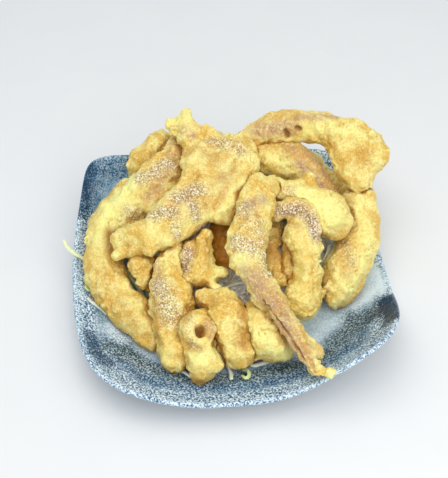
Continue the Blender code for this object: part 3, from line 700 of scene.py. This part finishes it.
def paint(piece, node):
    """Keep the node's coloured patches, some of them painted shade and highlight, and work its grooves,
    some darkened with painted shade, and sandy crumbs into the crust.
    """
    mesh = piece.data
    points = places_of(mesh)
    normals = normals_of(mesh)
    tones = {tone: np.zeros(len(points)) for tone in CRUST_TONES}
    for tone, pixels, width, strength in PATCHES.get(node, []):
        near = nearness_along(points, piece, pixels, width)
        tones[tone] = np.maximum(tones[tone], strength * near)
    for tone, pixels, width, depth in GROOVES.get(node, []):
        near = nearness_along(points, piece, pixels, width)
        points = points - normals * (near * depth)[:, None]
        # Each groove takes its tone; the darkest is painted shade in the crease
        tones[tone] = np.maximum(tones[tone], near * GROOVE_TINT)
    sand = tones["crumb"] * noise_list(points, SAND_SIZE, SAND_SHIFT) * SAND_DEPTH
    move_to(mesh, points + normals * sand[:, None])
    for tone, values in tones.items():
        store(mesh, tone, values)


def tree_of_pieces():
    """The faces of all the solids together, for telling what shades what."""
    data = bmesh.new()
    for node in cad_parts.values():
        data.from_mesh(node.data)
    tree = BVHTree.FromBMesh(data)
    data.free()
    return tree


def shade_of(mesh):
    """How much of the way out from each corner other pieces block, 0 to 1."""
    shares = []
    for place, normal in zip(places_of(mesh), normals_of(mesh)):
        out = Vector(normal)
        level = out.cross(SLANT).normalized()
        other = out.cross(level)
        start = (Vector(place) + out * SHADE_START) * MM
        directions = (out, out + level, out - level, out + other, out - other)
        blocked = 0.0
        for direction in directions:
            hit, _, _, distance = many_solids.ray_cast(start, direction.normalized(), SHADE_REACH * MM)
            if hit is not None:
                blocked += 1.0 - distance / (SHADE_REACH * MM)
        shares.append(blocked / len(directions))
    return np.array(shares)


def node_maker(name):
    """A new material, with a helper that adds a node, sets its values and links its inputs."""
    material = bpy.data.materials.new(name)
    material.use_nodes = True
    tree = material.node_tree
    tree.nodes.clear()

    def add(kind, values=None, **settings):
        node = tree.nodes.new(kind)
        for key, value in settings.items():
            setattr(node, key, value)
        for key, value in (values or {}).items():
            if isinstance(value, bpy.types.NodeSocket):
                tree.links.new(value, node.inputs[key])
            else:
                node.inputs[key].default_value = value
        return node

    return material, add


def mixed(add, share, first, second):
    """A colour between two others."""
    values = {"Factor": share, "A": first, "B": second}
    node = add("ShaderNodeMix", data_type="RGBA")
    for key, value in values.items():
        socket = [s for s in node.inputs if s.name == key and s.enabled][0]
        if isinstance(value, bpy.types.NodeSocket):
            node.id_data.links.new(value, socket)
        else:
            socket.default_value = value
    return [s for s in node.outputs if s.enabled][0]


def layered(add, colour, palette, layers):
    """A colour with others of a palette laid over it in turn, each as (share, name)."""
    for share, name in layers:
        colour = mixed(add, share, colour, palette[name])
    return colour


def stepped(add, value, low, high, to_low=0.0, to_high=1.0):
    """A value taken from one range to another, kept inside it."""
    node = add("ShaderNodeMapRange", {
        "Value": value, "From Min": low, "From Max": high, "To Min": to_low, "To Max": to_high})
    return node.outputs["Result"]


def times(add, first, second):
    """Two numbers multiplied."""
    return add("ShaderNodeMath", {0: first, 1: second}, operation="MULTIPLY").outputs[0]


def plus(add, first, second):
    """Two numbers added."""
    return add("ShaderNodeMath", {0: first, 1: second}, operation="ADD").outputs[0]


def noisy(add, place, size, detail=3.0, roughness=0.55):
    """Noise whose features are about a size in millimetres."""
    node = add("ShaderNodeTexNoise", {
        "Vector": place, "Scale": 1.0 / (size * MM), "Detail": detail, "Roughness": roughness})
    return node.outputs["Fac"]


def place_in(add):
    """The place on the object, for its noise."""
    return add("ShaderNodeTexCoord").outputs["Object"]


def attribute(add, name):
    """One of the numbers kept at the corners."""
    return add("ShaderNodeAttribute", attribute_name=name).outputs["Fac"]


def raised(add, height, strength, depth):
    """The surface's direction where fine texture raises it, to a depth in millimetres."""
    node = add("ShaderNodeBump", {"Height": height, "Strength": strength, "Distance": depth * MM})
    return node.outputs["Normal"]


def surface(add, values):
    """The shader of a material, with its values, as the material's output."""
    shader = add("ShaderNodeBsdfPrincipled", values)
    add("ShaderNodeOutputMaterial", {"Surface": shader.outputs["BSDF"]})


def batter_layers(add, place):
    """What lies over the batter's ground colour, from the bottom up, as (share, name)."""
    hollow = attribute(add, "hollow")
    lemon = attribute(add, "lemon")
    crumb = attribute(add, "crumb")
    patches = stepped(add, noisy(add, place, 5.0), 0.56, 0.76, 0.0, 0.5)
    brown = plus(add, attribute(add, "brown"), patches)
    brown_breaks = stepped(add, noisy(add, place, 2.4, detail=4.0), 0.35, 0.6, 0.35, 0.95)
    pink_breaks = stepped(add, noisy(add, place, 3.0, detail=4.0), 0.36, 0.58, 0.3, 1.0)
    sand = noisy(add, place, 1.1, detail=2.0, roughness=0.6)
    plain = stepped(add, lemon, 0.0, 1.0, 1.0, 0.35)
    dusky = stepped(add, noisy(add, place, 2.6), 0.40, 0.60, 0.2, 0.75)
    dots = noisy(add, place, 1.1, detail=2.0)
    return [
        # Lemon patches: paler batter, and partly painted highlight where the light falls brightest
        (stepped(add, lemon, 0.0, 1.0, 0.0, 0.9), "lemon"),
        # Painted highlight on crests and painted shade in hollows
        (stepped(add, hollow, -0.15, -0.9, 0.0, 0.5), "cream"),
        (stepped(add, hollow, 0.1, 0.9, 0.0, 0.7), "toasted"),
        # Browned patches, partly painted shade under and between pieces
        (times(add, brown, brown_breaks), "toasted"),
        (times(add, attribute(add, "pink"), pink_breaks), "rosy"),
        # Painted shade where other pieces block the light
        (stepped(add, attribute(add, "shade"), 0.06, 0.56, 0.0, 0.95), "amber"),
        (times(add, stepped(add, sand, 0.53, 0.64, 0.0, 0.42), plain), "toasted"),
        (stepped(add, sand, 0.47, 0.37, 0.0, 0.42), "cream"),
        (times(add, crumb, dusky), "dusk"),
        (times(add, crumb, stepped(add, dots, 0.53, 0.60, 0.0, 0.9)), "umber"),
        # White crumb dots, partly painted glints
        (times(add, crumb, stepped(add, dots, 0.46, 0.40, 0.0, 0.95)), "white"),
        # Painted shade: darkest in holes, slits and grooves, warm orange in deep gaps
        (attribute(add, "deep"), "deep"),
        (attribute(add, "glow"), "glow"),
    ]


def batter_material():
    """Crisp yellow batter: paler where thick, browner in patches that are partly painted shade, with
    painted shade in hollows, near other pieces and in deep gaps, and painted highlight on crests and lemon
    patches.
    """
    material, add = node_maker("batter")
    place = place_in(add)
    broad = stepped(add, noisy(add, place, 13.0), 0.42, 0.58)
    ground = mixed(add, broad, BATTER_COLOURS["pale"], BATTER_COLOURS["golden"])
    fine = plus(add, noisy(add, place, 0.7, roughness=0.65), noisy(add, place, 1.6, detail=2.0))
    surface(add, {
        "Base Color": layered(add, ground, BATTER_COLOURS, batter_layers(add, place)),
        "Roughness": stepped(add, noisy(add, place, 4.0), 0.3, 0.7, 0.26, 0.52),
        "Normal": raised(add, fine, 0.8, 0.5),
        "Subsurface Weight": 0.35,
        "Subsurface Radius": (1.0, 0.55, 0.12),
        "Subsurface Scale": 0.003,
        "Specular IOR Level": 0.35,
        "Coat Weight": 0.05,
        "Coat Roughness": 0.25,
    })
    return material


def glaze_layers(add, place, cloudy):
    """What lies over the glaze's ground colour, from the bottom up, as (share, name)."""
    uneven = stepped(add, noisy(add, place, 6.0, detail=5.0), 0.32, 0.55, 0.7, 1.0)
    layers = [(times(add, attribute(add, "well"), cloudy), "beige")]
    for tone in ("blue", "navy", "olive", "pool"):
        layers.append((times(add, attribute(add, tone), uneven), tone))
    return layers


def glaze_material():
    """Speckled blue-grey glaze: pale at the rim, dark where it pooled, glossy all over."""
    material, add = node_maker("glaze")
    place = place_in(add)
    cloudy = stepped(add, noisy(add, place, 12.0, detail=5.0), 0.38, 0.62)
    ground = mixed(add, cloudy, GLAZE_COLOURS["slate"], GLAZE_COLOURS["lilac"])
    colour = layered(add, ground, GLAZE_COLOURS, glaze_layers(add, place, cloudy))
    grains = noisy(add, place, 1.2, detail=2.0, roughness=0.7)
    specks = times(add, stepped(add, grains, 0.38, 0.62, -1.0, 1.0), attribute(add, "specks"))
    drift = stepped(add, noisy(add, place, 9.0, detail=4.0), 0.35, 0.65, -0.12, 0.12)
    covered = plus(add, plus(add, specks, drift), attribute(add, "white"))
    surface(add, {
        "Base Color": mixed(add, covered, colour, GLAZE_COLOURS["white"]),
        "Roughness": stepped(add, grains, 0.35, 0.7, 0.12, 0.32),
        "Normal": raised(add, noisy(add, place, 2.2), 0.3, 0.5),
        "Specular IOR Level": 0.28,
        "Coat Weight": 0.03,
        "Coat Roughness": 0.08,
    })
    return material


def cabbage_material():
    """Moist cabbage: nearly white ribs, pale green leaf, a little see-through, brown in deep shade."""
    material, add = node_maker("cabbage")
    place = place_in(add)
    veins = stepped(add, noisy(add, place, 3.0), 0.35, 0.65, -0.15, 0.15)
    green = plus(add, attribute(add, "green"), veins)
    colour = layered(add, CABBAGE_COLOURS["rib"], CABBAGE_COLOURS, [
        (stepped(add, green, 0.0, 1.0), "leaf"),
        (stepped(add, attribute(add, "shade"), 0.62, 0.85, 0.0, 0.9), "shadow"),
    ])
    surface(add, {
        "Base Color": colour,
        "Roughness": 0.32,
        "Normal": raised(add, noisy(add, place, 1.2), 0.3, 0.3),
        "Subsurface Weight": 0.7,
        "Subsurface Radius": (0.9, 1.0, 0.5),
        "Subsurface Scale": 0.005,
        "Specular IOR Level": 0.5,
        "Coat Weight": 0.2,
        "Coat Roughness": 0.15,
    })
    return material


def floor_material():
    """Plain pale floor."""
    material, add = node_maker("floor")
    colour = mixed(add, noisy(add, place_in(add), 60.0), *FLOOR_COLOURS)
    surface(add, {"Base Color": colour, "Roughness": 0.7})
    return material


def corner_at(angle):
    """The corner that lies in the quarter round an angle."""
    if math.cos(angle) < 0:
        return FAR_LEFT_CORNER if math.sin(angle) > 0 else NEAR_LEFT_CORNER
    return FAR_RIGHT_CORNER if math.sin(angle) > 0 else NEAR_RIGHT_CORNER


def rim_lift(angle):
    """Height of the rim: each side has its own height and each corner its own lift."""
    lift, lift_power = corner_at(angle)[2:]
    across = math.cos(angle)
    along = math.sin(angle)
    height = (RIGHT_RIM_Z if across > 0 else LEFT_RIM_Z) * across * across
    height += (BACK_RIM_Z if along > 0 else FRONT_RIM_Z) * along * along
    return height + lift * abs(math.sin(2.0 * angle)) ** lift_power


def outline_reach(angle, share):
    """Distance from the middle to the soft square outline at a share of full size."""
    sharpness, pull = corner_at(angle)[:2]
    diagonal = abs(math.sin(2.0 * angle))
    rim_power = SIDE_POWER + (sharpness - SIDE_POWER) * diagonal ** 2
    power = 2.0 + (rim_power - 2.0) * share * share
    total = abs(math.cos(angle) / half_width) ** power + abs(math.sin(angle) / half_depth) ** power
    pulled = 1.0 + pull * share * share * diagonal ** PULL_POWER
    return share * pulled / total ** (1.0 / power)


def surface_at(angle, share):
    """Height of the dish's upper surface on the outline drawn at a share of full size."""
    rise = max(0.0, (share - WALL_START) / (1.0 - WALL_START)) ** WALL_POWER
    return WELL_Z + (rim_lift(angle) - WELL_Z) * rise


def underside_at(angle, share):
    """Height of the dish's underside, which keeps clear of the table."""
    return max(surface_at(angle, share) - DISH_THICKNESS, UNDER_LOWEST_Z)


def dish_rings():
    """The dish's rings, from its middle over the rim to its foot: (share, reach, height at an angle)."""
    rings = []
    for step in range(1, DISH_RINGS + 1):
        share = LAST_INNER_SHARE * step / DISH_RINGS
        rings.append((share, 0.0, lambda a, s=share: surface_at(a, s)))
    for degrees in RIM_DEGREES:
        reach = -RIM_INSET + RIM_RADIUS * math.cos(math.radians(degrees))
        depth = RIM_RADIUS - RIM_RADIUS * math.sin(math.radians(degrees))
        rings.append((1.0, reach, lambda a, d=depth: rim_lift(a) - d))
    for share in UNDER_SHARES:
        rings.append((share, UNDER_REACH, lambda a, s=share: underside_at(a, s)))
    rings.append((FOOT_SHARE + FOOT_FLARE, 0.0, lambda a: FOOT_TOP_Z))
    rings.append((FOOT_SHARE + FOOT_ROUNDING, 0.0, lambda a: FOOT_ROUNDING_Z))
    rings.append((FOOT_SHARE, 0.0, lambda a: 0.0))
    rings.append((FOOT_MIDDLE_SHARE, 0.0, lambda a: 0.0))
    return rings


def glaze_tones(points, shares, angles):
    """How much of each glaze colour shows at each corner of the dish."""
    degrees = np.degrees(angles)
    front = ramp(degrees, *FRONT_START) * (1.0 - ramp(degrees, *FRONT_END))
    band = shares + RIPPLE_SHARE * noise_list(points, RIPPLE_SIZE, RIPPLE_SHIFT)
    nothing = np.zeros(len(points))
    tones = {
        "well": 1.0 - ramp(shares, *WELL_BAND),
        "rim": ramp(band, *RIM_BAND),
        "olive": front * hump(band, *OLIVE_BAND),
        "navy": front * hump(band, *NAVY_BAND),
        "edge": ramp(shares, *EDGE_BAND),
        "blue": nothing,
        "pool": nothing,
        "pale": nothing,
    }
    for tone, pixels, width, strength in GLAZE_PATCHES:
        near = nearness_along(points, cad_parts["dish"], pixels, width)
        tones[tone] = np.maximum(tones[tone], strength * np.minimum(PATCH_SPREAD * near, 1.0))
    tones["edge"] = tones["edge"] * (1.0 - COVERED_EDGE * np.maximum(tones["pool"], tones["blue"]))
    white, specks = (np.full(len(points), value) for value in PLAIN_SPECKS)
    for tone, share, contrast in GLAZE_SPECKS:
        white = white + (share - white) * tones[tone]
        specks = specks + (contrast - specks) * tones[tone]
    tones["white"] = white
    tones["specks"] = specks
    tones["navy"] = np.maximum(tones["navy"], tones["rim"] * (1.0 - tones["pale"]))
    return tones


def build_dish(material):
    """The dish from the same formulas as the solid, finely divided, with its glaze tones."""
    data = bmesh.new()
    loops = []
    shares = []
    angles = []
    for share, reach, height in dish_rings():
        loop = []
        for step in range(DISH_SEGMENTS):
            turn = 2.0 * math.pi * step / DISH_SEGMENTS
            angle = turn + SEGMENT_CROWDING * math.sin(4.0 * turn)
            out = outline_reach(angle, share) + reach
            spot = (out * math.cos(angle) * MM, out * math.sin(angle) * MM, height(angle) * MM)
            loop.append(data.verts.new(spot))
            shares.append(share)
            angles.append(math.atan2(math.sin(angle), math.cos(angle)))
        loops.append(loop)
    for inner, outer in zip(loops, loops[1:]):
        for step in range(DISH_SEGMENTS):
            beside = (step + 1) % DISH_SEGMENTS
            data.faces.new((inner[step], outer[step], outer[beside], inner[beside]))
    top = data.verts.new((0.0, 0.0, WELL_Z * MM))
    bottom = data.verts.new((0.0, 0.0, 0.0))
    shares.extend([0.0, 0.0])
    angles.extend([0.0, 0.0])
    for step in range(DISH_SEGMENTS):
        beside = (step + 1) % DISH_SEGMENTS
        data.faces.new((top, loops[0][step], loops[0][beside]))
        data.faces.new((bottom, loops[-1][beside], loops[-1][step]))
    mesh = mesh_from(data, "dish_glazed")
    tones = glaze_tones(places_of(mesh), np.array(shares), np.array(angles))
    for name in GLAZE_TONES:
        store(mesh, name, tones[name])
    mesh.shade_smooth()
    mesh.materials.append(material)
    return link("dish_glazed", mesh)


def ribbon(data, greens, path, width, thickness, roll, green):
    """Add one shred of cabbage to a mesh: a thin strip, hollowed across, along a path."""
    rings = []
    last = len(path) - 1
    for index, here in enumerate(path):
        along = (path[min(index + 1, last)] - path[max(index - 1, 0)]).normalized()
        turned = SHRED_TILT * math.sin(roll + SHRED_TURN_STEP * index)
        side = along.cross(Vector((turned, SHRED_TILT * math.sin(2.0 * roll), SHRED_FLATNESS))).normalized()
        lift = side.cross(along)
        bulge = math.sin(math.pi * (index + END_POINTS) / (last + 2.0 * END_POINTS))
        taper = width * (END_WIDTH + EXTRA_WIDTH * bulge)
        ring = []
        for across, up in SHRED_SECTION:
            corner = here + side * (across * taper / 2.0) + lift * (up * thickness)
            ring.append(data.verts.new(corner * MM))
            greens.append(green + SIDE_GREEN * across)
        rings.append(ring)
    sides = len(SHRED_SECTION)
    for a, b in zip(rings, rings[1:]):
        for k in range(sides):
            data.faces.new((a[k], a[(k + 1) % sides], b[(k + 1) % sides], b[k]))
    data.faces.new(list(reversed(rings[0])))
    data.faces.new(rings[-1])


def shred_path(core, draw, x, y, turn):
    """A wandering path over the mound from a place, ending early at the mound's edge."""
    heading = draw.uniform(0.0, 2.0 * math.pi)
    bend = draw.uniform(-SHRED_BEND, SHRED_BEND)
    steps = draw.randint(*SHRED_POINTS)
    lift = draw.uniform(*SHRED_LIFTS)
    path = []
    for step in range(steps):
        hit, spot, _, _ = core.ray_cast(Vector((x, y, SHRED_DROP_Z)) * MM, Vector((0.0, 0.0, -1.0)))
        if not hit:
            break
        wave = SHRED_WAVE * math.sin(step * SHRED_WAVE_STEP + turn)
        path.append(Vector((x, y, spot.z / MM + lift + wave)))
        heading += bend + draw.uniform(-SHRED_WANDER, SHRED_WANDER)
        x += SHRED_STEP * math.cos(heading)
        y += SHRED_STEP * math.sin(heading)
    return path


def build_shreds(material):
    """The cabbage that shows: many shreds lying over the mound."""
    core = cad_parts["cabbage"]
    low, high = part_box("cabbage")
    centre_x = (low.x + high.x) / 2 / MM
    centre_y = (low.y + high.y) / 2 / MM
    radius = (high.x - low.x) / 2 / MM
    draw = random.Random(SHRED_SEED)
    data = bmesh.new()
    greens = []
    for _ in range(SHRED_COUNT):
        turn = draw.uniform(0.0, 2.0 * math.pi)
        reach = radius * math.sqrt(draw.uniform(*SHRED_SHARES))
        x = centre_x + reach * math.cos(turn)
        y = centre_y + reach * math.sin(turn)
        path = shred_path(core, draw, x, y, turn)
        if len(path) < FEWEST_POINTS:
            continue
        between = [(a + b * 2.0 + c) / 4.0 for a, b, c in zip(path, path[1:], path[2:])]
        width = draw.uniform(*SHRED_WIDTHS)
        thickness = draw.uniform(*SHRED_THICKNESSES)
        roll = draw.uniform(-SHRED_ROLL, SHRED_ROLL)
        green = draw.choice(SHRED_GREENS)
        ribbon(data, greens, [path[0], *between, path[-1]], width, thickness, roll, green)
    mesh = mesh_from(data, "cabbage_shreds")
    store(mesh, "green", greens)
    store(mesh, "shade", shade_of(mesh))
    mesh.shade_smooth()
    mesh.materials.append(material)
    return link("cabbage_shreds", mesh)


def build_core(material):
    """The body of the cabbage mound under its shreds."""
    piece = finer_copy("cabbage", "_core", CORE_VOXEL, CORE_ROUNDS)
    mesh = piece.data
    strands = noise_list(places_of(mesh) * STRAND_STRETCH, STRAND_SIZE, STRAND_SHIFT)
    grow(mesh, strands - CORE_SINK)
    store(mesh, "green", np.clip(CORE_GREEN + strands, 0.0, 1.0))
    store(mesh, "shade", shade_of(mesh))
    mesh.shade_smooth()
    mesh.materials.append(material)
    return piece


def build_loose_shred(node, green, material):
    """A single shred that shows beside the heap, rounded and finer than its solid."""
    piece = finer_copy(node, "_strip", LOOSE_VOXEL, LOOSE_ROUNDS)
    mesh = piece.data
    points = places_of(mesh)
    grow(mesh, LOOSE_GROWTH + LOOSE_WAVE * noise_list(points, LOOSE_WAVE_SIZE, np.zeros(3)))
    change = LOOSE_GREEN_CHANGE * noise_list(points, LOOSE_GREEN_SIZE, np.ones(3))
    store(mesh, "green", np.clip(green + change, 0.0, 1.0))
    mesh.shade_smooth()
    mesh.materials.append(material)
    return piece


def add_light(name, place, size, power, colour):
    """A square area light at a place in metres, turned to the food."""
    data = bpy.data.lights.new(name, "AREA")
    data.size = size
    data.energy = power
    data.color = colour
    lamp = bpy.data.objects.new(name, data)
    lamp.location = place
    lamp.rotation_euler = (Vector(LAMP_AIM) - Vector(place)).to_track_quat("-Z", "Y").to_euler()
    bpy.context.scene.collection.objects.link(lamp)


def build_stage():
    """The pale floor, a dim even sky and soft lamps overhead and in front."""
    data = bmesh.new()
    bmesh.ops.create_grid(data, x_segments=FLOOR_CELLS, y_segments=FLOOR_CELLS, size=FLOOR_HALF_WIDTH)
    floor = link("floor", mesh_from(data, "floor"))
    floor.data.materials.append(floor_material())
    world = bpy.data.worlds.new("sky")
    world.use_nodes = True
    background = world.node_tree.nodes["Background"]
    background.inputs["Color"].default_value = SKY_COLOUR
    background.inputs["Strength"].default_value = SKY_STRENGTH
    bpy.context.scene.world = world
    for lamp in LAMPS:
        add_light(*lamp)


bpy.context.scene.view_settings.view_transform = "Standard"
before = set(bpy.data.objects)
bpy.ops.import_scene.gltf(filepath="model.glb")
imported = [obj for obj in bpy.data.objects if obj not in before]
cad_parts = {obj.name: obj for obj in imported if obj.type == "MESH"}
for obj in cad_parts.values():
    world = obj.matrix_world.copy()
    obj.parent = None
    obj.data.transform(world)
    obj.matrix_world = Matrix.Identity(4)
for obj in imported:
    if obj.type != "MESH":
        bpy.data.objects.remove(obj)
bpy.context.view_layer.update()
half_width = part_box("dish")[1].x / MM - RIM_REACH
half_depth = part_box("dish")[1].y / MM - RIM_REACH
eye, eye_right, eye_up, eye_forward = make_camera()
many_solids = tree_of_pieces()
build_stage()

batter = batter_material()
cabbage = cabbage_material()
calamari = sorted(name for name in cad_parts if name.startswith("calamari"))
for seed, name in enumerate(calamari):
    fineness = HIDDEN_VOXEL if name in HIDDEN_PIECES else SHOWN_VOXEL
    crust = crusted(name, fineness, seed)
    paint(crust, name)
    crust.data.materials.append(batter)
    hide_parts(name)
    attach(crust, "root")

dish = build_dish(glaze_material())
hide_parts("dish")
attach(dish, "root")

core = build_core(cabbage)
shreds = build_shreds(cabbage)
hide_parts("cabbage")
for piece in (core, shreds):
    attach(piece, "root")
for name, green in LOOSE_GREENS.items():
    strip = build_loose_shred(name, green, cabbage)
    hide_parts(name)
    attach(strip, "root")
